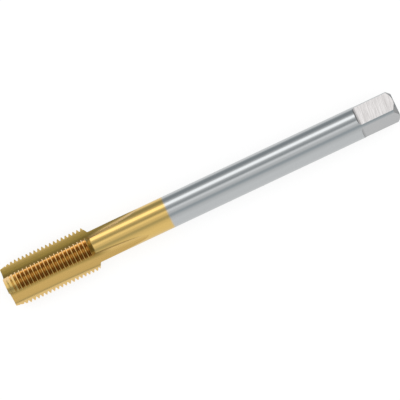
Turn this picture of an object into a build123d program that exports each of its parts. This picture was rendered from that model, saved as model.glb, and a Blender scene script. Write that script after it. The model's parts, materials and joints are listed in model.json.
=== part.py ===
"""Straight-flute machine tap, G 1/8 (28 threads to the inch), ground from one bar of tool steel.

The tool lies along X with its cutting end at -X and its square drive at +X.
It rests on the lips of one flute, so the land opposite that flute points straight up.
Angles round the tool are measured from +Z towards -Y, which is the way a right-hand thread
turns as it goes towards +X.
"""

from build123d import *

import os
from math import acos, atan2, ceil, cos, degrees, radians, sin, tan

# ---- driving dimensions, mm and degrees -------------------------------------------------

overall_length = 90.0

# Thread: G 1/8, Whitworth form.
thread_diameter = 9.728
thread_pitch = 25.4 / 28
flank_angle = 55.0
thread_length = 19.25         # from the cutting end to the last full crest
thread_back_angle = 60.0      # cone behind the last crest, from the axis
crest_position = 19.33        # one crest of the top land, from the cutting end

# Chamfered lead, which shares the cut between the first threads.
lead_length = 3.3
lead_front_diameter = 8.4

# Shank, square drive and end.
shank_diameter = 7.0
neck_fillet = 0.3
square_across_flats = 5.4
square_length = 8.7
square_wheel_radius = 0.6     # corner of the wheel that grinds the flats
square_turn = -24.0           # direction that one flat faces
end_chamfer = 0.9

# Flutes: a formed wheel grinds each one and lifts out along the neck.
flute_count = 3
flute_core_radius = 2.2       # least distance from the axis to the flute
cutting_edge_angle = 42.5     # from the deepest line of the flute to the cutting edge
heel_edge_angle = 28.0        # from the deepest line to the heel of the next land
rake_angle = 5.0
cutting_face_depth = 1.2      # from the cutting edge to where face and floor would meet
face_root_radius = 1.0        # rounds that corner, so that the chip curls
flute_straight_length = 8.6   # from the cutting end to where the wheel starts to lift
wheel_radius = 205.0

# Centre holes, form A.
centre_pilot_diameter = 1.6
centre_mouth_diameter = 3.35
centre_pilot_length = 1.9
centre_angle = 60.0
drill_point_angle = 118.0

overrun = 1.5                 # how far a cutter passes beyond what it cuts

# ---- what follows from them -------------------------------------------------------------

thread_radius = thread_diameter / 2
shank_radius = shank_diameter / 2
front_x = -overall_length / 2
end_x = overall_length / 2

flank_slope = tan(radians(flank_angle / 2))
crest_width = thread_pitch / 6
thread_depth = (thread_pitch - 2 * crest_width) / (2 * flank_slope)

flute_pitch = 360 / flute_count
land_angle = flute_pitch - cutting_edge_angle - heel_edge_angle


def turned_blank():
    """The bar as turned and ground round: lead, thread blank, neck, shank and end chamfer."""
    back_run = (thread_radius - shank_radius) / tan(radians(thread_back_angle))
    neck_start = (front_x + thread_length + back_run, shank_radius)
    outline = Polyline(
        (front_x, 0),
        (front_x, lead_front_diameter / 2),
        (front_x + lead_length, thread_radius),
        (front_x + thread_length, thread_radius),
        neck_start,
        (end_x - end_chamfer, shank_radius),
        (end_x, shank_radius - end_chamfer),
        (end_x, 0),
        close=True,
    )
    section = make_face(outline)
    corner = section.vertices().sort_by_distance(neck_start)[0]
    return revolve(fillet(corner, neck_fillet), Axis.X)


def tooth_gap():
    """One stretch of the thread's groove, a little longer than a land is wide.

    Its middle is straight above the origin, and both ends come out in the flutes.
    """
    clearance = crest_width / (4 * flank_slope)
    root_half = crest_width / 2
    mouth_half = root_half + (thread_depth + clearance) * flank_slope
    turn = (land_angle + flute_pitch) / 2
    advance = thread_pitch * turn / 360
    path = Helix(thread_pitch, advance, thread_radius, (-advance / 2, 0, 0), (1, 0, 0))
    start = path @ 0
    outwards = Vector(0, start.Y, start.Z).normalized()
    along = Vector(1, 0, 0)
    root = start - outwards * thread_depth
    mouth = start + outwards * clearance
    corners = [
        root - along * root_half,
        root + along * root_half,
        mouth + along * mouth_half,
        mouth - along * mouth_half,
    ]
    gap = sweep(Face(Wire.make_polygon(corners)), path, is_frenet=True)
    start_angle = degrees(atan2(-start.Y, start.Z))
    return gap.rotate(Axis.X, -start_angle - turn / 2)


def tooth_gaps():
    """The whole groove of the right-hand thread: a gap on each land for every turn."""
    gap = tooth_gap()
    turns_before = ceil(crest_position / thread_pitch)
    first_root = front_x + crest_position - (turns_before + 0.5) * thread_pitch
    turns = ceil((front_x + thread_length - first_root) / thread_pitch) + 1
    gaps = []
    for land in range(flute_count):
        for turn in range(turns):
            advance = (turn + land / flute_count) * thread_pitch
            gaps.append(Pos(first_root + advance, 0, 0) * gap.rotate(Axis.X, land * flute_pitch))
    return gaps


def circle_radius(point, lowest):
    """Radius of the circle that runs level through (0, lowest) and passes through the point."""
    rise = point[1] - lowest
    return (point[0] ** 2 + rise**2) / (2 * rise)


def flute_section():
    """Form of the flute wheel: round heel side, gentle floor, straight cutting face.

    First coordinate towards the cutting edge, second outwards along the deepest line.
    """
    edge_turn = radians(cutting_edge_angle)
    heel_turn = radians(heel_edge_angle)
    face_turn = radians(cutting_edge_angle - rake_angle)
    edge = (thread_radius * sin(edge_turn), thread_radius * cos(edge_turn))
    heel = (-thread_radius * sin(heel_turn), thread_radius * cos(heel_turn))
    face_foot = (edge[0] - cutting_face_depth * sin(face_turn),
                 edge[1] - cutting_face_depth * cos(face_turn))
    lowest = (0, flute_core_radius)
    top = thread_radius + overrun
    face_top = (edge[0] + (top - edge[1]) * tan(face_turn), top)
    heel_radius = circle_radius(heel, flute_core_radius)
    floor_radius = circle_radius(face_foot, flute_core_radius)
    outline = [
        Line((heel[0], top), heel),
        RadiusArc(heel, lowest, -heel_radius),
        RadiusArc(lowest, face_foot, -floor_radius),
        Line(face_foot, face_top),
        Line(face_top, (heel[0], top)),
    ]
    section = make_face(outline)
    corner = section.vertices().sort_by_distance(face_foot)[0]
    return fillet(corner, face_root_radius)


def flute_cutter():
    """What the wheel removes for a flute that faces straight up, from the front to its run-out."""
    path_radius = wheel_radius + flute_core_radius
    rise = shank_radius - flute_core_radius + overrun / 2
    lift_angle = acos(1 - rise / path_radius)
    start = Vector(front_x - overrun, 0, 0)
    lift = Vector(front_x + flute_straight_length, 0, 0)
    clear = lift + Vector(path_radius * sin(lift_angle), 0, rise)
    path = Wire([Line(start, lift), TangentArc(lift, clear, tangent=(1, 0, 0))])
    wheel_plane = Plane(origin=start, x_dir=(0, -1, 0), z_dir=(-1, 0, 0))
    return sweep(wheel_plane * flute_section(), path)


def square_cutters():
    """The four blocks ground off for the square, each ending in the radius of the wheel's corner."""
    half = square_across_flats / 2
    width = 2 * (shank_radius + overrun)
    start_x = end_x - square_length
    block = Polyline(
        (start_x, half),
        (end_x + overrun, half),
        (end_x + overrun, shank_radius + overrun),
        (start_x, shank_radius + overrun),
        close=True,
    )
    section = make_face(block)
    corner = section.vertices().sort_by_distance((start_x, half))[0]
    section = fillet(corner, square_wheel_radius)
    cutter = extrude(Plane.XZ * section, width / 2, both=True)
    return [cutter.rotate(Axis.X, square_turn + 90 * side) for side in range(4)]


def centre_hole():
    """A 60 degree centre with its pilot, its mouth at the origin and its depth along +X."""
    mouth = centre_mouth_diameter / 2
    pilot = centre_pilot_diameter / 2
    cone_depth = (mouth - pilot) / tan(radians(centre_angle / 2))
    pilot_end = cone_depth + centre_pilot_length
    point = pilot_end + pilot / tan(radians(drill_point_angle / 2))
    outline = Polyline(
        (0, 0),
        (0, mouth),
        (cone_depth, pilot),
        (pilot_end, pilot),
        (point, 0),
        close=True,
    )
    return revolve(make_face(outline), Axis.X)


def tap():
    """The finished tool, lying with the lips of its lowest flute on the ground."""
    deepest = -land_angle / 2 - cutting_edge_angle
    cutter = flute_cutter()
    flutes = [cutter.rotate(Axis.X, deepest + flute * flute_pitch) for flute in range(flute_count)]
    body = turned_blank() - flutes - square_cutters() - tooth_gaps()
    body -= Pos(front_x, 0, 0) * centre_hole()
    body -= Pos(end_x, 0, 0) * centre_hole().mirror(Plane.YZ)
    lowest_lip = min(corner.Z for corner in body.vertices())
    return Pos(0, 0, -lowest_lip) * body


os.makedirs("parts", exist_ok=True)
export_step(tap(), "parts/tap.step")
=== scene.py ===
# %% [markdown]
# # A straight-flute machine tap
#
# A tap cuts the thread inside a hole. This one is ground from a single bar of tool steel: a
# threaded end with three flutes, a slim neck, a long round shank and a small square that the
# holder drives. The cutting end has a thin coat of golden titanium nitride.
#
# The whole tool is one skin here. Rows run along the tool, columns run round it, and every
# point comes from the same arithmetic that the grinding wheels follow.

import json
from math import acos, asin, atan2, cos, degrees, hypot, radians, sin, tan

import bpy
import numpy as np
from mathutils import Matrix, Vector


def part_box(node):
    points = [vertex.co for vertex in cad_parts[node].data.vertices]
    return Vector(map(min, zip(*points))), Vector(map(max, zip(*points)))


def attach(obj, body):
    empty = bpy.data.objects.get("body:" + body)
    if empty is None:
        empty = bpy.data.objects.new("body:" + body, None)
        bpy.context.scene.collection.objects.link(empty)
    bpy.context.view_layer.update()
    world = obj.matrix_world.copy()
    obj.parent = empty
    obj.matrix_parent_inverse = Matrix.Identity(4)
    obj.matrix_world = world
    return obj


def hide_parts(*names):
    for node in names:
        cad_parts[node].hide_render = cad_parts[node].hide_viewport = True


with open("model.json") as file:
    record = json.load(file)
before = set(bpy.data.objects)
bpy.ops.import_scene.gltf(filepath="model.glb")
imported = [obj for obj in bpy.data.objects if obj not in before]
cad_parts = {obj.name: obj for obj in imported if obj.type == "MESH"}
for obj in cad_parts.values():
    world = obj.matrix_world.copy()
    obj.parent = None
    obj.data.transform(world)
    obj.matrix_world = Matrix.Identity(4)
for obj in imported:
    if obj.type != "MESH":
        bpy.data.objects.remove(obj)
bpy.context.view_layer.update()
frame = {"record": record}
low_corner, high_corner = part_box("tap")
MM = 0.001
print("box of the solid, mm:", [round(v / MM, 2) for v in (*low_corner, *high_corner)])

# %% [markdown]
# ## The sizes of the tool
#
# All lengths are in millimetres and all angles in degrees, and each has a name. Angles round
# the tool start at the top and go towards -Y, the way a right-hand thread turns as it moves
# towards the square. The tool rests on the lips of its lowest flute, and this sets how high
# its axis is.

# %% Sizes
front_x = low_corner.x / MM
end_x = high_corner.x / MM

thread_radius = 9.728 / 2
thread_pitch = 25.4 / 28
flank_angle = 55.0
thread_length = 19.25
back_angle = 60.0
crest_position = 19.33
lead_length = 3.3
lead_radius = 8.4 / 2

shank_radius = 3.5
neck_fillet = 0.3
square_half = 2.7
square_length = 8.7
square_fillet = 0.6
square_turn = -24.0
end_chamfer = 0.9
coat_end = -7.7

lands = 3
core_radius = 2.2
cutting_edge_turn = 42.5
heel_turn = 28.0
rake_angle = 5.0
face_depth = 1.2
face_root = 1.0
wheel_radius = 205.0
flute_straight_length = 8.6
lift_x = front_x + flute_straight_length

centre_mouth = 3.35 / 2
centre_pilot = 1.6 / 2
centre_pilot_length = 1.9
centre_angle = 60.0
drill_point_angle = 118.0

sector = 360 / lands
half_land = (sector - cutting_edge_turn - heel_turn) / 2
flute_turn = half_land + heel_turn
axis_height = frame["record"]["mounts"][0]["pos_m"][2] / MM
print("axis height, mm:", round(axis_height, 3))

# %% [markdown]
# ## The thread
#
# A pipe thread has the old Whitworth form: flanks at 55 degrees, with crest and root rounded
# by the same radius. The wheel that grinds it makes both curves in one go. A shape like this
# could be built with a screw modifier, but then the flutes would have to be cut out of it
# with booleans. A formula for the depth of the groove is simpler: it knows how deep the
# steel is at every point, and the flutes just take the smaller radius.

# %% Thread form
rounding_share = 0.137329
form_radius = rounding_share * thread_pitch
flank = radians(flank_angle / 2)
arc_reach = form_radius * cos(flank)
arc_drop = form_radius * (1 - sin(flank))
thread_depth = 2 * arc_drop + (thread_pitch / 2 - 2 * arc_reach) / tan(flank)


def groove_depth(turns):
    """Depth below the crest, for a distance from a crest measured in pitches.

    Within the crest's curve it is r - sqrt(r2 - a2), on the flank a straight line, and round
    the root the same curve upside down. Here a is the distance from the nearest crest.
    """
    away = np.abs(turns - np.round(turns)) * thread_pitch
    to_root = thread_pitch / 2 - away
    crest = form_radius - np.sqrt(np.clip(form_radius**2 - away**2, 0, None))
    root = thread_depth - form_radius + np.sqrt(np.clip(form_radius**2 - to_root**2, 0, None))
    side = arc_drop + (away - arc_reach) / tan(flank)
    return np.where(away < arc_reach, crest, np.where(to_root < arc_reach, root, side))


def blank_radius(x):
    """Radius of the turned bar: lead cone, thread blank, back cone, small fillet, then shank."""
    back_start = front_x + thread_length
    back_run = (thread_radius - shank_radius) / tan(radians(back_angle))
    neck_x = back_start + back_run
    reach = neck_fillet * tan(radians(back_angle / 2))
    corner_x = neck_x + reach
    start = neck_x - reach * cos(radians(back_angle))
    outline = np.interp(
        x,
        [front_x, front_x + lead_length, back_start, neck_x],
        [lead_radius, thread_radius, thread_radius, shank_radius],
    )
    rounding = shank_radius + neck_fillet - np.sqrt(
        np.clip(neck_fillet**2 - (x - corner_x) ** 2, 0, None)
    )
    return np.where((x > start) & (x < corner_x), rounding, outline)


def land_radius(x, angle):
    """Radius on a land: the bar, or the thread where that is deeper. The thread climbs one
    pitch in a full turn, so its phase is (x - crest) / pitch - angle / 360."""
    phase = (x - front_x - crest_position) / thread_pitch - angle / 360
    return np.minimum(blank_radius(x), thread_radius - groove_depth(phase))


print("thread depth, mm:", round(thread_depth, 3))

# %% [markdown]
# ## The flutes
#
# A formed wheel grinds each flute from the front, and then lifts out along an arc, so the
# flute ends in a long point on the neck. Its section has a round heel side, a gentle floor
# and a straight cutting face, which leans forward by the rake angle. A small round joins
# floor and face, so that the chip curls. One number q walks along this section: 0 to 1 is
# the heel side, 1 to 2 the floor, 2 to 3 the small round and 3 to 4 the face.

# %% Flute form
edge_u = thread_radius * sin(radians(cutting_edge_turn))
edge_v = thread_radius * cos(radians(cutting_edge_turn))
heel_u = thread_radius * sin(radians(heel_turn))
heel_v = thread_radius * cos(radians(heel_turn))
face_lean = radians(cutting_edge_turn - rake_angle)
foot_u = edge_u - face_depth * sin(face_lean)
foot_v = edge_v - face_depth * cos(face_lean)


def arc_radius(u, rise):
    """Radius of a circle that starts level and rises by this much at distance u.

    It is (u2 + rise2) / (2 rise).
    """
    return (u**2 + rise**2) / (2 * rise)


heel_arc = arc_radius(heel_u, heel_v - core_radius)
floor_arc = arc_radius(foot_u, foot_v - core_radius)
heel_sweep = atan2(heel_u, heel_arc - (heel_v - core_radius))

# The small round has its centre at (R - r) sin(b), v0 - (R - r) cos(b), where v0 is the
# height of the floor's centre, and lies at the distance r from the face. Both hold when
# (R - r) sin(b + lean) is the face's distance from the floor's centre less r.
floor_centre = core_radius + floor_arc
face_distance = foot_u * cos(face_lean) + (floor_centre - foot_v) * sin(face_lean)
floor_sweep = asin((face_distance - face_root) / (floor_arc - face_root)) - face_lean
root_u = (floor_arc - face_root) * sin(floor_sweep)
root_v = floor_centre - (floor_arc - face_root) * cos(floor_sweep)
root_sweep = radians(90) - face_lean
face_start_u = root_u + face_root * sin(root_sweep)
face_start_v = root_v - face_root * cos(root_sweep)
face_length = hypot(edge_u - face_start_u, edge_v - face_start_v)
path_radius = wheel_radius + core_radius


def flute_point(q, x):
    """Radius and turn from the flute's deepest line, at place q of the section and at x.

    Heel side, floor and small round are circles: u = u0 + R sin(b), v = v0 - R cos(b), and
    the face is a straight line. Where the wheel lifts, v becomes P - sqrt((P - v)2 - s2),
    with P the radius of the wheel's path and s the distance from where the lift starts.
    """
    heel_b = -heel_sweep * (1 - np.clip(q, 0, 1))
    floor_b = floor_sweep * np.clip(q - 1, 0, 1)
    root_b = floor_sweep + (root_sweep - floor_sweep) * np.clip(q - 2, 0, 1)
    along_face = np.clip(q - 3, 0, 1) * face_length
    part = [q < 1, q < 2, q < 3]
    u = np.select(
        part,
        [heel_arc * np.sin(heel_b), floor_arc * np.sin(floor_b),
         root_u + face_root * np.sin(root_b)],
        face_start_u + along_face * sin(face_lean),
    )
    v = np.select(
        part,
        [core_radius + heel_arc * (1 - np.cos(heel_b)), floor_centre - floor_arc * np.cos(floor_b),
         root_v - face_root * np.cos(root_b)],
        face_start_v + along_face * cos(face_lean),
    )
    lifted = np.clip(x - lift_x, 0, None)
    v = path_radius - np.sqrt((path_radius - v) ** 2 - lifted**2)
    return np.hypot(u, v), np.degrees(np.arctan2(u, v))


halvings = 40


def meet(radius, x, inner, outer):
    """The q between inner and outer where the flute's surface has the given radius.

    The range is halved again and again, for all rows at once, and the half that holds the
    meeting place is kept.
    """
    inner = np.full_like(x, inner)
    outer = np.full_like(x, outer)
    for _ in range(halvings):
        middle = (inner + outer) / 2
        deep = flute_point(middle, x)[0] < radius
        inner = np.where(deep, middle, inner)
        outer = np.where(deep, outer, middle)
    return inner


tip_lift = shank_radius - core_radius
tip_x = lift_x + (path_radius**2 - (path_radius - tip_lift) ** 2) ** 0.5
print("the flutes end at x, mm:", round(tip_x, 2))

# %% [markdown]
# ## Rows and columns
#
# The rows lie closest on the thread, 24 to a pitch, and on its lands they lean with the
# helix, so that every crest runs along one row and stays clean. Round the tool there are 48
# columns for each land and flute. They follow the cutting edge and the heel, so both edges
# are real edges of the mesh and not steps.

# %% Rows and columns of the fluted part
rows_per_pitch = 24
land_columns = 24
flute_columns = 24
sector_columns = land_columns + flute_columns
columns = lands * sector_columns
neck_rows = 44
last_neck_step = 0.06
front_gap = 0.3
back_room = 1.2

first_crest = front_x + crest_position
thread_end = front_x + thread_length
neck_start = thread_end + back_room
row_step = thread_pitch / rows_per_pitch
first_row = int(np.ceil((front_x - first_crest) / row_step + front_gap))
last_row = int(np.floor((neck_start - first_crest) / row_step))
thread_rows = first_crest + row_step * np.arange(first_row, last_row + 1)
neck_steps = np.linspace((tip_x - neck_start) ** 0.5, last_neck_step, neck_rows)
fluted_x = np.concatenate([[front_x], thread_rows, tip_x - neck_steps**2])
print("rows of the fluted part:", len(fluted_x))

# %% [markdown]
# ## Painted shade and highlight on the fluted part
#
# The coat gets painted shade in the grooves, a darker colour on the heel side of the flutes that
# is partly a dull, roughly ground coat and partly painted shade, a painted dark reflection on the
# cone behind the thread, and a painted highlight along the cutting edges. Each of these could be
# painted by hand as a texture. Here they are short tables instead, read along q in a flute and
# along the turn from the middle of a land.
# The points keep what the tables give, so the finish always fits the shape.

# %% Tables for the coat
# Places are values of q, turns are degrees from the middle of a land, and the cone's places
# are millimetres behind the end of the thread.
# Heel side of the flutes and the neck behind: a rough coat, darkened by painted shade.
rough_and_shaded_places = [0.1, 0.45, 0.7, 1.0, 1.3]
rough_and_shaded_shares = [0.1, 1.0, 0.95, 0.7, 0.0]
neck_rough_and_shaded_places = [0.1, 0.45, 0.64, 0.82]
neck_rough_and_shaded_shares = [0.1, 1.0, 0.9, 0.0]
neck_fade = 3.0
# A little painted shade on the floor of the flutes.
floor_places = [0.9, 1.3, 2.2, 3.0]
floor_shade = [0.0, 0.25, 0.25, 0.0]
# A painted highlight on the face of the flutes.
face_places = [2.2, 3.0]
face_highlight = [0.0, 0.3]
# Painted shade in the thread's grooves, by the turn from a land's middle.
groove_shade_turns = [-23, -18.5, -16, -7, -3, 4, 9, 24]
groove_shade = [0.2, 0.75, 1.0, 1.0, 0.55, 0.6, 0.9, 0.95]
# A painted highlight along the cutting edge.
edge_highlight_turns = [-23.5, -19.5]
# A painted dark reflection on the cone behind the thread.
cone_places = [0.0, 0.1, 0.75, 0.95]
cone_turns = [-20, -11, 12, 22]
cone_shade = [0.3, 0.9, 0.9, 0.4]
# A painted highlight that reaches down the crests near the cutting edge.
crest_turns = [-22, -6]
crest_reach = 0.75
print("a land runs from", -half_land, "to", half_land, "degrees")

# %% [markdown]
# ## Lands and flutes
#
# Each land runs from its cutting edge to its heel, and each flute from there to the next
# cutting edge. Where a land meets a flute has no tidy formula, so it is searched for by
# halving. One function then gives a whole sector, and three sectors make the tool.

# %% Lands and flutes
lean_ease = 0.8
tip_turn = 0.3
part_widths = [0.4, 0.62, 0.86]
part_columns = [0, 9, 15, 20, flute_columns]


def fluted_points(rows_x):
    """x, radius, angle and the three coat shares of every point, as rows by columns.

    On a land the angle runs evenly from cutting edge to heel. In a flute q runs evenly
    within each part of the section, between the places where the flute meets the lands.
    The first share is painted shade: the share of the thread's depth below the bar, taken by the
    turn from the land's middle and less near the cutting edge, where the groove is open to the
    light; in a flute it is a little painted shade on the floor. The second is 1 where the coat is
    rough and darkened by painted shade, on the heel side of a flute and on the neck; on the cone
    behind the thread it is a painted dark reflection. The third is a painted highlight: 1 at the
    cutting edge, fading along the land on the crests, and a little on a flute's face.
    """
    from_front = np.clip((rows_x - front_x) / lean_ease, 0, 1)
    from_neck = np.clip((neck_start - rows_x) / lean_ease, 0, 1)
    lean = from_front * from_neck * thread_pitch / 360
    cut_x = rows_x - lean * half_land
    heel_x = rows_x + lean * half_land
    all_x, all_r, all_angle, all_groove_shade, all_rough_and_shaded, all_edge_highlight = [], [], [], [], [], []
    for land in range(lands):
        centre = land * sector
        heel_q = meet(land_radius(heel_x, centre + half_land), heel_x, 1.0, 0.0)
        heel_angle = flute_turn + flute_point(heel_q, heel_x)[1]
        heel_angle = np.minimum(heel_angle, flute_turn - tip_turn)
        cut_q = meet(land_radius(cut_x, centre - half_land), cut_x, 1.0, 4.0)
        cut_angle = flute_turn - sector + flute_point(cut_q, cut_x)[1]
        cut_angle = np.maximum(cut_angle, flute_turn - sector + tip_turn)

        share = np.arange(land_columns) / land_columns
        turn = cut_angle[:, None] + share * (heel_angle - cut_angle)[:, None]
        x = rows_x[:, None] + lean[:, None] * turn
        all_x.append(x)
        all_r.append(land_radius(x, centre + turn))
        all_angle.append(centre + turn)
        # Painted shade in the grooves, by depth and by turn; near the cutting edge the crests keep
        # a painted highlight instead.
        depth_share = np.clip((blank_radius(x) - all_r[-1]) / thread_depth, 0, 1)
        crest_share = np.interp(turn, crest_turns, [crest_reach, 0])
        in_groove = np.clip((depth_share - crest_share) / (1 - crest_share), 0, 1)
        all_groove_shade.append(in_groove * np.interp(turn, groove_shade_turns, groove_shade))
        # Painted dark reflection on the cone behind the thread.
        on_cone = np.interp(x - thread_end, cone_places, [0, 1, 1, 0])
        all_rough_and_shaded.append(on_cone * np.interp(turn, cone_turns, cone_shade))
        on_thread = x < thread_end
        # Painted highlight at the cutting edge and down the crests.
        crest_highlight = np.clip(1 - depth_share / crest_reach, 0, 1) * crest_share / crest_reach
        near_edge = np.maximum(np.interp(turn, edge_highlight_turns, [1, 0]), crest_highlight)
        all_edge_highlight.append(near_edge * on_thread)

        next_cut_q = meet(land_radius(cut_x, centre + sector - half_land), cut_x, 1.0, 4.0)
        span = next_cut_q - heel_q
        marks = [np.minimum(part, heel_q + width * span)
                 for part, width in zip((1.0, 2.0, 3.0), part_widths)]
        steps = np.arange(flute_columns)
        q = np.stack([
            np.interp(steps, part_columns, places) for places in zip(heel_q, *marks, next_cut_q)
        ])
        share = steps / flute_columns
        x = rows_x[:, None] + (lean * half_land)[:, None] * (1 - 2 * share)
        r, turn = flute_point(q, x)
        least = tip_turn * (2 * share - 1)
        narrow = (np.abs(turn) < tip_turn) & (np.ptp(turn, axis=1) < 2 * tip_turn)[:, None]
        turn = np.where(narrow, least, turn)
        all_x.append(x)
        all_r.append(np.minimum(r, thread_radius))
        all_angle.append(centre + flute_turn + turn)
        # A little painted shade on the flute's floor.
        all_groove_shade.append(np.interp(q, floor_places, floor_shade))
        on_neck = np.clip((x - neck_start) / neck_fade, 0, 1)
        # Heel side and neck: a rough coat, darkened by painted shade.
        rough_and_shaded = np.interp(q, rough_and_shaded_places, rough_and_shaded_shares)
        neck_rough_and_shaded = np.interp(q, neck_rough_and_shaded_places, neck_rough_and_shaded_shares)
        all_rough_and_shaded.append(rough_and_shaded + on_neck * (neck_rough_and_shaded - rough_and_shaded))
        # A painted highlight on the flute's face.
        all_edge_highlight.append(np.interp(q, face_places, face_highlight))
    every = (all_x, all_r, all_angle, all_groove_shade, all_rough_and_shaded, all_edge_highlight)
    return [np.concatenate(part, axis=1) for part in every]


*fluted, groove_shade_share, rough_and_shaded_share, edge_highlight_share = fluted_points(fluted_x)
print("radii of the fluted part, mm:", fluted[1].min().round(3), "to", fluted[1].max().round(3))

# %% [markdown]
# ## Shank and square
#
# On the round shank the columns drift from the layout of the three flutes to that of the
# four flats, which changes nothing that can be seen, since the radius is the same all round.
# Each flat is ground by a wheel with a rounded corner, so it starts in a small hollow curve.
# The corners between the flats stay round, as wide as the shank.

# %% Layout of the square
flat_columns = 24
corner_columns = 12
flat_sector = flat_columns + corner_columns
column_shift = 6
least_half_turn = 12.0


def square_layout(half_turn):
    """Angles of all columns, when each flat reaches half_turn degrees to either side.

    On a flat the columns are even along the flat, so angle = atan(tan(half) * place), and on
    a corner they are even in angle.
    """
    place = np.arange(columns) - column_shift + flat_columns / 2
    side = np.floor(place / flat_sector)
    within = place - side * flat_sector
    on_flat = within <= flat_columns
    flat = np.degrees(np.arctan(np.tan(np.radians(half_turn)) * (2 * within / flat_columns - 1)))
    corner = half_turn + (within - flat_columns) / corner_columns * (90 - 2 * half_turn)
    return square_turn + 90 * side + np.where(on_flat, flat, corner)


def square_row(x, flat_distance, bar_radius):
    """One row of the square, as x, radius and angle.

    The radius is the smaller of the bar's and the flat's distance over the cosine of the
    angle from the flat's middle.
    """
    reach = min(1.0, flat_distance / bar_radius)
    angle = square_layout(max(least_half_turn, degrees(acos(reach))))
    from_middle = (angle - square_turn + 45) % 90 - 45
    radius = np.minimum(bar_radius, flat_distance / np.cos(np.radians(from_middle)))
    return np.full(columns, x), radius, angle


square_x = end_x - square_length
hollow_top = square_half + square_fillet
print("the square starts at x, mm:", round(square_x, 2))

# %% [markdown]
# ## Rows of the shank and the square
#
# The rows could stand evenly, but then most of them would lie on the plain shank. They are
# few there and many where the form changes: in the hollow at the start of the flats, and on
# the chamfer, whose cone the flats cut in four arcs.

# %% Rows of shank and square
shank_rows = 38
hollow_rows = 8
flat_rows = 8
chamfer_rows = 10
shoulder_gap = 0.002
plain_rows = []

shank_share = np.linspace(0, 1, shank_rows)
tip_angles = fluted[2][-1]
start_angles = square_row(square_x, hollow_top, shank_radius)[2]
shank_x = tip_x + shank_share * (square_x - tip_x)
# Close rows next to the flutes' tips and to the flats keep the shading of the shank even.
close_rows = [tip_x + 0.1, square_x - 0.12, square_x - 0.04]
shank_x = np.sort(np.append(shank_x, close_rows))
# The last row stands a hair before the flats' first, so that no face between them is empty.
shank_x[-1] -= shoulder_gap
for x in shank_x:
    share = (x - tip_x) / (square_x - tip_x)
    angle = tip_angles + share * (start_angles - tip_angles)
    plain_rows.append((np.full(columns, x), np.full(columns, shank_radius), angle))

for turn in np.radians(np.linspace(0, 90, hollow_rows)):
    x = square_x + square_fillet * (1 - cos(turn))
    plain_rows.append(square_row(x, hollow_top - square_fillet * sin(turn), shank_radius))

chamfer_x = end_x - end_chamfer
for x in np.linspace(square_x + square_fillet, chamfer_x, flat_rows)[1:]:
    plain_rows.append(square_row(x, square_half, shank_radius))

widest = degrees(acos(square_half / shank_radius))
for turn in np.linspace(widest, 0, chamfer_rows)[1:]:
    cone = square_half / cos(radians(turn))
    plain_rows.append(square_row(chamfer_x + shank_radius - cone, square_half, cone))
plain_rows.append(square_row(end_x, square_half, shank_radius - end_chamfer))
plain = [np.stack(part) for part in zip(*plain_rows)]
print("rows of shank and square:", len(plain_rows))

# %% [markdown]
# ## Centre holes
#
# The tool is ground between centres, so both ends have a 60 degree hole with a small pilot.
# Each hole is a few more rows that turn inwards and end in a single point on the axis.

# %% Centres
cone_depth = (centre_mouth - centre_pilot) / tan(radians(centre_angle / 2))
pilot_end = cone_depth + centre_pilot_length
drill_point = pilot_end + centre_pilot / tan(radians(drill_point_angle / 2))
hole_depths = np.array([0, cone_depth, pilot_end])
hole_radii = np.array([centre_mouth, centre_pilot, centre_pilot])
hole_turn = 4.5


def hole_rows(face_x, inwards, angles):
    """Rings of a centre hole from its mouth down, each with one radius and one depth."""
    x = face_x + inwards * hole_depths
    return [np.broadcast_to(x[:, None], (3, columns)),
            np.broadcast_to(hole_radii[:, None], (3, columns)),
            np.broadcast_to(angles, (3, columns))]


share = np.arange(sector_columns) / sector_columns
sector_turns = [hole_turn - half_land, half_land, hole_turn - half_land + sector]
inner_sector = np.interp(share, [0, 0.5, 1], sector_turns)
inner_angles = np.concatenate([inner_sector + land * sector for land in range(lands)])
front_hole = [part[::-1] for part in hole_rows(front_x, 1, inner_angles)]
rear_hole = hole_rows(end_x, -1, plain[2][-1])
x, radius, angle = [
    np.concatenate(parts) for parts in zip(front_hole, fluted, plain, rear_hole)
]
rows = len(x)
print("grid:", rows, "rows by", columns, "columns")

# %% [markdown]
# ## From the grid to a mesh
#
# Four neighbouring points make a face, and the last column joins the first. The two ends
# close on one point each, deep in their centre holes.

# %% The skin
turn = np.radians(angle)
points = np.stack([x, -radius * np.sin(turn), radius * np.cos(turn) + axis_height], axis=-1)
ends = np.array([[front_x + drill_point, 0, axis_height], [end_x - drill_point, 0, axis_height]])
vertices = np.concatenate([points.reshape(-1, 3), ends]) * MM

row, column = np.meshgrid(np.arange(rows - 1), np.arange(columns), indexing="ij")
here = row * columns + column
beside = row * columns + (column + 1) % columns
quads = np.stack([here, beside, beside + columns, here + columns], axis=-1).reshape(-1, 4)
ring = np.arange(columns)
after = (ring + 1) % columns
last_ring = (rows - 1) * columns
front_pole = np.full(columns, rows * columns)
front_fan = np.stack([front_pole, after, ring], axis=-1)
rear_fan = np.stack([front_pole + 1, last_ring + ring, last_ring + after], axis=-1)

skin = bpy.data.meshes.new("tap_skin")
skin.from_pydata(vertices.tolist(), [], quads.tolist() + front_fan.tolist() + rear_fan.tolist())
skin.update()
tap = bpy.data.objects.new("tap_skin", skin)
bpy.context.collection.objects.link(tap)
print("faces:", len(skin.polygons))

# %% [markdown]
# ## What the points know
#
# The finish has to know where it is. Attributes go with the points for it to read: a painted
# highlight along the cutting edges and crests, painted shade deep in the thread, a share that is 1
# inside the flutes, and a rough coat darkened by painted shade on the heel side of the flutes,
# with a painted dark reflection on the cone behind the thread.

# %% Shares kept with the points
fluted_start = len(front_hole[0])
fluted_end = fluted_start + len(fluted_x)
place_in_sector = np.arange(columns) % sector_columns


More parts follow.
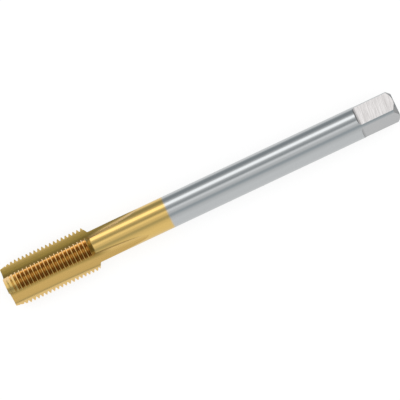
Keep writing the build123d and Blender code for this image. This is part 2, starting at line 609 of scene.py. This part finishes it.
def on_fluted_part(share):
    """One number per point of the mesh: the share on the fluted part, and 0 elsewhere."""
    values = np.zeros((rows, columns))
    values[fluted_start:fluted_end] = share
    return np.append(values.ravel(), [0, 0]).astype(np.float32)


flute_share = place_in_sector > land_columns
# Besides the flutes, these are a painted highlight, painted shade in the grooves, and a rough coat
# darkened by painted shade.
for name, share in (("edge_highlight", edge_highlight_share), ("flute", flute_share),
                    ("painted_groove_shade", groove_shade_share), ("rough_and_shaded_coat", rough_and_shaded_share)):
    kept = skin.attributes.new(name, "FLOAT", "POINT")
    kept.data.foreach_set("value", on_fluted_part(share))
print("attributes:", [kept.name for kept in skin.attributes])

# %% [markdown]
# ## Sharp edges
#
# Light should glide over the shank and break at every ground edge. Smooth shading with a
# limit on the angle does most of this. The cutting edges and heels get shallow where the
# flutes run out, so they are marked sharp by their columns as well.

# %% Sharp edges
sharp_angle = 28.0
skin.polygons.foreach_set("use_smooth", np.ones(len(skin.polygons), dtype=bool))
skin.set_sharp_from_angle(angle=radians(sharp_angle))
on_edge = on_fluted_part(np.isin(place_in_sector, [0, land_columns])) > 0
pairs = np.empty(len(skin.edges) * 2, dtype=np.int32)
skin.edges.foreach_get("vertices", pairs)
first, second = pairs.reshape(-1, 2).T
ground = (np.abs(first - second) == columns) & on_edge[first] & on_edge[second]
sharp_layer = skin.attributes["sharp_edge"]
sharp = np.empty(len(skin.edges), dtype=bool)
sharp_layer.data.foreach_get("value", sharp)
sharp_layer.data.foreach_set("value", sharp | ground)
print("sharp edges:", int((sharp | ground).sum()))

# %% [markdown]
# ## Finishes
#
# Ground steel isn't a mirror. The wheel leaves very fine marks that run round the shank and
# lengthwise in the flutes, and they blur what the metal reflects. One node group makes such
# marks from the Object coordinates, stretched along one direction, and each finish gives it
# its own stretch and strength.

# %% Grinding marks
square_facing = (0, -sin(radians(square_turn)), cos(radians(square_turn)))


def add_node(nodes, kind, **settings):
    """A new node of this kind, with its settings made."""
    node = nodes.new("ShaderNode" + kind)
    for name, value in settings.items():
        setattr(node, name, value)
    return node


def grinding_marks():
    """Node group: noise stretched by Scale gives a roughness and a height for fine marks.

    Roughness out is (noise - 0.5) * Spread + Roughness in. Slant turns the marks about the
    direction that the first flat faces.
    """
    group = bpy.data.node_groups.new("grinding_marks", "ShaderNodeTree")
    face = group.interface
    scale_in = face.new_socket("Scale", in_out="INPUT", socket_type="NodeSocketVector")
    scale_in.default_value = (1, 1, 1)
    for name, value in (("Slant", 0.0), ("Roughness", 0.2), ("Spread", 0.1)):
        socket = face.new_socket(name, in_out="INPUT", socket_type="NodeSocketFloat")
        socket.default_value = value
    for name in ("Roughness", "Height"):
        face.new_socket(name, in_out="OUTPUT", socket_type="NodeSocketFloat")
    nodes, links = group.nodes, group.links
    inside = nodes.new("NodeGroupInput")
    out = nodes.new("NodeGroupOutput")
    place = add_node(nodes, "TexCoord")
    turn_it = add_node(nodes, "VectorRotate", rotation_type="AXIS_ANGLE")
    turn_it.inputs["Axis"].default_value = square_facing
    stretch = add_node(nodes, "VectorMath", operation="MULTIPLY")
    noise = add_node(nodes, "TexNoise")
    noise.inputs["Scale"].default_value = 1.0
    noise.inputs["Detail"].default_value = 4.0
    noise.inputs["Roughness"].default_value = 0.6
    centred = add_node(nodes, "Math", operation="SUBTRACT")
    centred.inputs[1].default_value = 0.5
    spread = add_node(nodes, "Math", operation="MULTIPLY_ADD")
    links.new(place.outputs["Object"], turn_it.inputs["Vector"])
    links.new(inside.outputs["Slant"], turn_it.inputs["Angle"])
    links.new(turn_it.outputs["Vector"], stretch.inputs[0])
    links.new(inside.outputs["Scale"], stretch.inputs[1])
    links.new(stretch.outputs["Vector"], noise.inputs["Vector"])
    links.new(noise.outputs["Fac"], centred.inputs[0])
    links.new(centred.outputs["Value"], spread.inputs[0])
    links.new(inside.outputs["Spread"], spread.inputs[1])
    links.new(inside.outputs["Roughness"], spread.inputs[2])
    links.new(spread.outputs["Value"], out.inputs["Roughness"])
    links.new(noise.outputs["Fac"], out.inputs["Height"])
    return group


marks_group = grinding_marks()
print("inputs of the marks:", [socket.name for socket in marks_group.interface.items_tree])

# %% [markdown]
# ## Two ground metals
#
# The round parts and the flats are the same steel, ground by different wheels. So both are
# made by one helper, which puts the marks into a metal's roughness and into a shallow bump.

# %% Ground metal


def ground_metal(name, color, scale, roughness, spread, depth_mm, slant=0.0):
    """A metal with grinding marks. Color and metallic sit on the shader itself."""
    material = bpy.data.materials.new(name)
    material.use_nodes = True
    nodes, links = material.node_tree.nodes, material.node_tree.links
    shader = nodes["Principled BSDF"]
    shader.inputs["Base Color"].default_value = (*color, 1)
    shader.inputs["Metallic"].default_value = 1.0
    marks = add_node(nodes, "Group", node_tree=marks_group)
    marks.inputs["Scale"].default_value = scale
    marks.inputs["Slant"].default_value = radians(slant)
    marks.inputs["Roughness"].default_value = roughness
    marks.inputs["Spread"].default_value = spread
    bump = add_node(nodes, "Bump")
    bump.inputs["Strength"].default_value = 1.0
    bump.inputs["Distance"].default_value = depth_mm * MM
    links.new(marks.outputs["Roughness"], shader.inputs["Roughness"])
    links.new(marks.outputs["Height"], bump.inputs["Height"])
    links.new(bump.outputs["Normal"], shader.inputs["Normal"])
    return material


steel_color = (0.60, 0.62, 0.63)
coat_color = (0.87, 0.60, 0.20)
body = ground_metal("coated_steel", coat_color, scale=(6000, 300, 300),
                    roughness=0.14, spread=0.1, depth_mm=0.0004)
flats = ground_metal("ground_flats", steel_color, scale=(5000, 300, 300),
                     roughness=0.2, spread=0.15, depth_mm=0.002, slant=6)
print("finishes:", body.name, "and", flats.name)

# %% [markdown]
# ## The coat
#
# The coat's colour isn't the same everywhere, and much of that is painted light. Deep in the
# thread it is brown by painted shade, which stands for light that bounces from flank to flank. On
# the heel side of the flutes the coat is rough, and its darker colour there and on the neck is
# partly dull coat and partly painted shade; on the cone behind the thread a dark colour is a
# painted reflection. Along the cutting edges and crests a pale colour is a painted highlight. At
# its end on the shank the coat fades out over less than a millimetre, since the vapour that made
# it crept a little under the holder. Separate materials would need hard borders, so one material
# blends the colours by the shares that the points keep.

# %% Colour of the coat
# Painted shade deep in the thread.
groove_shade_color = (0.34, 0.15, 0.03)
# Partly a dull coat, partly painted shade; on the rear cone a painted dark reflection.
rough_and_shaded_color = (0.36, 0.25, 0.06)
# Painted highlight along the cutting edges and crests.
edge_highlight_color = (0.98, 0.70, 0.38)
coat_fade = 0.35


def mix_colors(nodes, links, below, above, share):
    """A colour that goes from below to above with the share. Each may be a tuple or a link."""
    mix = add_node(nodes, "Mix", data_type="RGBA")
    for name, color in (("A", below), ("B", above)):
        if isinstance(color, tuple):
            mix.inputs[name].default_value = (*color, 1)
        else:
            links.new(color, mix.inputs[name])
    links.new(share, mix.inputs["Factor"])
    return mix.outputs["Result"]


def attribute(nodes, name):
    """The share that the points keep under this name."""
    return add_node(nodes, "Attribute", attribute_name=name).outputs["Fac"]


def color_coat(material):
    """Mix the coat's colour with its painted shades and painted highlight by their shares, and let
    it end in bare steel along X.
    """
    nodes, links = material.node_tree.nodes, material.node_tree.links
    place = add_node(nodes, "TexCoord")
    parts = add_node(nodes, "SeparateXYZ")
    bare = add_node(nodes, "MapRange", interpolation_type="SMOOTHSTEP")
    bare.inputs["From Min"].default_value = (coat_end - coat_fade) * MM
    bare.inputs["From Max"].default_value = (coat_end + coat_fade) * MM
    links.new(place.outputs["Object"], parts.inputs["Vector"])
    links.new(parts.outputs["X"], bare.inputs["Value"])
    color = coat_color
    # Painted shade in the grooves, a rough coat darkened by painted shade, then a painted
    # highlight along the edges.
    for name, above in (("painted_groove_shade", groove_shade_color), ("rough_and_shaded_coat", rough_and_shaded_color), ("edge_highlight", edge_highlight_color)):
        color = mix_colors(nodes, links, color, above, attribute(nodes, name))
    color = mix_colors(nodes, links, color, steel_color, bare.outputs["Result"])
    links.new(color, nodes["Principled BSDF"].inputs["Base Color"])


color_coat(body)
print("the coat fades at x, mm:", coat_end - coat_fade, "to", coat_end + coat_fade)

# %% [markdown]
# ## Marks in the flutes
#
# In the flutes the wheel ran lengthwise, so its marks do too, and they are coarser than on
# the shank. The same node group makes both, and the flute's share picks one of them.

# %% Marks in the flutes
long_scale = (250, 5000, 5000)
long_spread = 0.2
rougher_places = (("flute", 0.14), ("rough_and_shaded_coat", 0.2))


def roughen_flutes(material):
    """Give the flutes lengthwise marks: roughness is the marks' own plus share * extra."""
    nodes, links = material.node_tree.nodes, material.node_tree.links
    round_marks = nodes["Group"]
    long_marks = add_node(nodes, "Group", node_tree=marks_group)
    long_marks.inputs["Scale"].default_value = long_scale
    long_marks.inputs["Roughness"].default_value = round_marks.inputs["Roughness"].default_value
    long_marks.inputs["Spread"].default_value = long_spread
    chosen = {}
    for output in ("Roughness", "Height"):
        choose = add_node(nodes, "Mix")
        links.new(attribute(nodes, "flute"), choose.inputs["Factor"])
        links.new(round_marks.outputs[output], choose.inputs["A"])
        links.new(long_marks.outputs[output], choose.inputs["B"])
        chosen[output] = choose.outputs["Result"]
    links.new(chosen["Height"], nodes["Bump"].inputs["Height"])
    fine = chosen["Roughness"]
    for name, extra in rougher_places:
        rougher = add_node(nodes, "Math", operation="MULTIPLY_ADD")
        rougher.inputs[1].default_value = extra
        links.new(attribute(nodes, name), rougher.inputs[0])
        links.new(fine, rougher.inputs[2])
        fine = rougher.outputs["Value"]
    links.new(fine, nodes["Principled BSDF"].inputs["Roughness"])


roughen_flutes(body)
print("nodes in the coat:", len(body.node_tree.nodes))

# %% [markdown]
# ## Strokes on the square
#
# The flats show the strokes of the wheel that ground them, as bright and dark lines across.
# Two opposite flats were ground finer, and their strokes hardly show. A second material
# could do that, but the distance from the axis along one flat's direction tells the two
# pairs apart, so one material is enough.

# %% Strokes on the flats
stroke_dark = (0.20, 0.185, 0.18)
stroke_light = (0.88, 0.86, 0.855)
fine_flat_color = (0.57, 0.575, 0.58)
coarse_reach = 2.65


def stroke_flats(material):
    """Colour the flats by their wheel strokes, on the pair where |(p - axis) . facing| is
    more than coarse_reach, and leave the other pair even and smooth."""
    nodes, links = material.node_tree.nodes, material.node_tree.links
    marks = nodes["Group"]
    place = add_node(nodes, "TexCoord")
    from_axis = add_node(nodes, "VectorMath", operation="SUBTRACT")
    from_axis.inputs[1].default_value = (0, 0, axis_height * MM)
    along = add_node(nodes, "VectorMath", operation="DOT_PRODUCT")
    along.inputs[1].default_value = square_facing
    distance = add_node(nodes, "Math", operation="ABSOLUTE")
    coarse = add_node(nodes, "Math", operation="GREATER_THAN")
    coarse.inputs[1].default_value = coarse_reach * MM
    links.new(place.outputs["Object"], from_axis.inputs[0])
    links.new(from_axis.outputs["Vector"], along.inputs[0])
    links.new(along.outputs["Value"], distance.inputs[0])
    links.new(distance.outputs["Value"], coarse.inputs[0])

    strokes = mix_colors(nodes, links, stroke_dark, stroke_light, marks.outputs["Height"])
    color = mix_colors(nodes, links, fine_flat_color, strokes, coarse.outputs["Value"])
    links.new(color, nodes["Principled BSDF"].inputs["Base Color"])
    height = add_node(nodes, "Math", operation="MULTIPLY")
    links.new(marks.outputs["Height"], height.inputs[0])
    links.new(coarse.outputs["Value"], height.inputs[1])
    links.new(height.outputs["Value"], nodes["Bump"].inputs["Height"])


stroke_flats(flats)
print("nodes in the flats:", len(flats.node_tree.nodes))

# %% [markdown]
# ## Where each finish goes
#
# A face belongs to a flat when it lies behind the start of the square, doesn't look along
# the tool and is nearer to the axis than the round corners. Then the skin is tied to the
# solid: it stays on the one body that there is, and it is shown in the solid's place.

# %% Where each finish goes
corner_reach = 3.45
end_facing = 0.9
for finish in (body, flats):
    skin.materials.append(finish)
middle = np.empty(len(skin.polygons) * 3)
skin.polygons.foreach_get("center", middle)
outward = np.empty(len(skin.polygons) * 3)
skin.polygons.foreach_get("normal", outward)
middle, outward = middle.reshape(-1, 3), outward.reshape(-1, 3)
reach = np.hypot(middle[:, 1], middle[:, 2] - axis_height * MM)
behind = middle[:, 0] > square_x * MM
on_square = behind & (np.abs(outward[:, 0]) < end_facing) & (reach < corner_reach * MM)
skin.polygons.foreach_set("material_index", on_square.astype(np.int32))
skin.update()
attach(tap, "root")
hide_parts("tap")
print("faces on the flats:", int(on_square.sum()))

# %% [markdown]
# ## The floor
#
# The tool lies on a pale floor. It is painted grey, which takes the tool's soft shadow, and
# it glows a little for the camera alone, so that it looks almost white but throws no extra
# light on the steel. Reflections don't see it, since the studio below makes them all.

# %% Floor
floor_side = 2.0
floor_gray = 0.25
floor_glow = 0.8
corners = [(-1, -1), (1, -1), (1, 1), (-1, 1)]
floor_mesh = bpy.data.meshes.new("floor")
floor_points = [(x * floor_side, y * floor_side, 0) for x, y in corners]
floor_mesh.from_pydata(floor_points, [], [(0, 1, 2, 3)])
floor = bpy.data.objects.new("floor", floor_mesh)
bpy.context.collection.objects.link(floor)
floor.visible_glossy = False
floor_paint = bpy.data.materials.new("floor_paint")
floor_paint.use_nodes = True
nodes, links = floor_paint.node_tree.nodes, floor_paint.node_tree.links
paint = nodes["Principled BSDF"]
paint.inputs["Base Color"].default_value = (floor_gray, floor_gray, floor_gray, 1)
paint.inputs["Roughness"].default_value = 1.0
paint.inputs["Specular IOR Level"].default_value = 0.0
seen = add_node(nodes, "LightPath")
glow = add_node(nodes, "Emission")
glow.inputs["Color"].default_value = (floor_glow, floor_glow, floor_glow, 1)
together = add_node(nodes, "AddShader")
links.new(seen.outputs["Is Camera Ray"], glow.inputs["Strength"])
links.new(paint.outputs["BSDF"], together.inputs[0])
links.new(glow.outputs["Emission"], together.inputs[1])
links.new(together.outputs["Shader"], nodes["Material Output"].inputs["Surface"])
floor_mesh.materials.append(floor_paint)
print("floor, m:", [round(v, 3) for v in floor.dimensions])

# %% [markdown]
# ## The studio
#
# Polished round steel shows long stripes: they are the lamps and dark screens of the studio,
# drawn out along the bar. Lamps could be set up one by one. It is simpler to give the world
# bands of light and dark round the tool's axis, each with its angle from the top towards -Y
# and its brightness. Surfaces that lean towards the tool's ends see other parts of a studio,
# so there are three sets of bands: one straight across the tool, one for the flutes and
# flats that lean a little, and one for the flanks of the thread and the ends.

# %% Bands of light
across_bands = [
    (-171, 0.85), (-126, 0.85), (-106, 0.35), (-85, 0.33), (-69, 0.6),
    (-59, 1.45), (-47, 1.45), (-37, 0.6), (-23, 0.38), (-15, 0.5),
    (-9, 0.9), (-1, 0.9), (7, 0.7), (15, 0.68), (26, 0.45), (34, 0.48),
    (49, 0.68), (74, 0.8), (109, 0.8), (169, 0.8),
]
oblique_bands = [
    (-171, 0.6), (-110, 0.3), (-80, 0.35), (-62, 0.85), (-20, 0.88), (2, 0.82),
    (12, 0.42), (22, 0.3), (34, 0.45), (50, 0.6), (110, 0.7), (169, 0.6),
]
end_bands = [
    (-171, 0.3), (-100, 0.35), (-78, 0.6), (-64, 1.1), (-50, 1.0), (-42, 0.3), (-34, 0.1),
    (-18, 0.08), (-11, 0.4), (4, 0.4), (13, 0.16), (30, 0.12), (45, 0.35), (70, 0.6),
    (120, 0.5), (169, 0.3),
]
dark_level = 0.5
dark_blue = 0.08

world = bpy.data.worlds.new("studio")
bpy.context.scene.world = world
world.use_nodes = True
nodes, links = world.node_tree.nodes, world.node_tree.links
nodes.clear()


def band_ramp(share, bands):
    """Colours for a share of the full turn. Bands darker than dark_level are a bit blue."""
    ramp = add_node(nodes, "ValToRGB")
    stops = ramp.color_ramp.elements
    while len(stops) < len(bands):
        stops.new(0.5)
    for stop, (turn_at, bright) in zip(stops, bands):
        stop.position = turn_at / 360 + 0.5
    for stop, (turn_at, bright) in zip(stops, bands):
        blue = dark_blue if bright < dark_level else 0.0
        stop.color = (bright * (1 - blue), bright, bright * (1 + blue / 2), 1)
    links.new(share, ramp.inputs["Fac"])
    return ramp.outputs["Color"]


print("bands:", len(across_bands), len(oblique_bands), len(end_bands))

# %% [markdown]
# ## Directions in the studio
#
# The angle round the tool is the arc tangent of -Y over Z, and how far a direction leans
# towards the tool's ends is the size of its X. Smooth steps of that lean blend the three
# sets, so that no reflection has a seam.

# %% World
oblique_lean = (0.1, 0.35)
endways_lean = (0.52, 0.72)
direction = add_node(nodes, "TexCoord")
parts = add_node(nodes, "SeparateXYZ")
lean_size = add_node(nodes, "Math", operation="ABSOLUTE")
flipped = add_node(nodes, "Math", operation="MULTIPLY")
flipped.inputs[1].default_value = -1
round_x = add_node(nodes, "Math", operation="ARCTAN2")
turn_share = add_node(nodes, "Math", operation="MULTIPLY_ADD")
turn_share.inputs[1].default_value = 1 / (2 * np.pi)
turn_share.inputs[2].default_value = 0.5
links.new(direction.outputs["Generated"], parts.inputs["Vector"])
links.new(parts.outputs["X"], lean_size.inputs[0])
links.new(parts.outputs["Y"], flipped.inputs[0])
links.new(flipped.outputs["Value"], round_x.inputs[0])
links.new(parts.outputs["Z"], round_x.inputs[1])
links.new(round_x.outputs["Value"], turn_share.inputs[0])

color = band_ramp(turn_share.outputs["Value"], across_bands)
for bands, (start, stop) in ((oblique_bands, oblique_lean), (end_bands, endways_lean)):
    fade = add_node(nodes, "MapRange", interpolation_type="SMOOTHSTEP")
    fade.inputs["From Min"].default_value = start
    fade.inputs["From Max"].default_value = stop
    links.new(lean_size.outputs["Value"], fade.inputs["Value"])
    leaning = band_ramp(turn_share.outputs["Value"], bands)
    color = mix_colors(nodes, links, color, leaning, fade.outputs["Result"])

# Only reflections see the bands. All else is lit by an even white.
mirrored = add_node(nodes, "Background")
even = add_node(nodes, "Background")
even.inputs["Color"].default_value = (1, 1, 1, 1)
pick = add_node(nodes, "MixShader")
path = add_node(nodes, "LightPath")
world_out = add_node(nodes, "OutputWorld")
links.new(color, mirrored.inputs["Color"])
links.new(path.outputs["Is Glossy Ray"], pick.inputs["Fac"])
links.new(even.outputs["Background"], pick.inputs[1])
links.new(mirrored.outputs["Background"], pick.inputs[2])
links.new(pick.outputs["Shader"], world_out.inputs["Surface"])
print("nodes in the studio:", len(nodes))

# %% [markdown]
# ## The camera
#
# The camera looks almost straight down from far away, so that the tool keeps its true
# proportions. It is turned about its line of sight, which sets the tool across the frame
# with the thread at the lower left. The lens follows from the width that it should see.

# %% Camera
view_width = 83.92
camera_distance = 1150.0
aim = Vector((-0.58, -0.533, axis_height)) * MM
lean_forward, lean_aside, roll = radians(2.3), radians(4.3), radians(25.22)
towards_camera = Vector((tan(lean_forward), -tan(lean_aside), 1)).normalized()
axis = Vector((1, 0, 0))
along_axis = (axis - towards_camera * axis.dot(towards_camera)).normalized()
across_axis = towards_camera.cross(along_axis)
right = along_axis * cos(roll) - across_axis * sin(roll)
up = along_axis * sin(roll) + across_axis * cos(roll)
lens = bpy.data.cameras.new("camera")
lens.sensor_width = 36.0
lens.lens = lens.sensor_width * camera_distance / view_width
lens.clip_start = 0.01
lens.clip_end = 10.0
camera = bpy.data.objects.new("camera", lens)
bpy.context.collection.objects.link(camera)
place = Matrix((right, up, towards_camera)).transposed().to_4x4()
place.translation = aim + towards_camera * camera_distance * MM
camera.matrix_world = place
bpy.context.scene.camera = camera
print("lens, mm:", round(lens.lens, 1))

# %% [markdown]
# ## Finish
#
# The plain view transform shows colours as they are written.

# %% Finish
bpy.context.scene.view_settings.view_transform = "Standard"
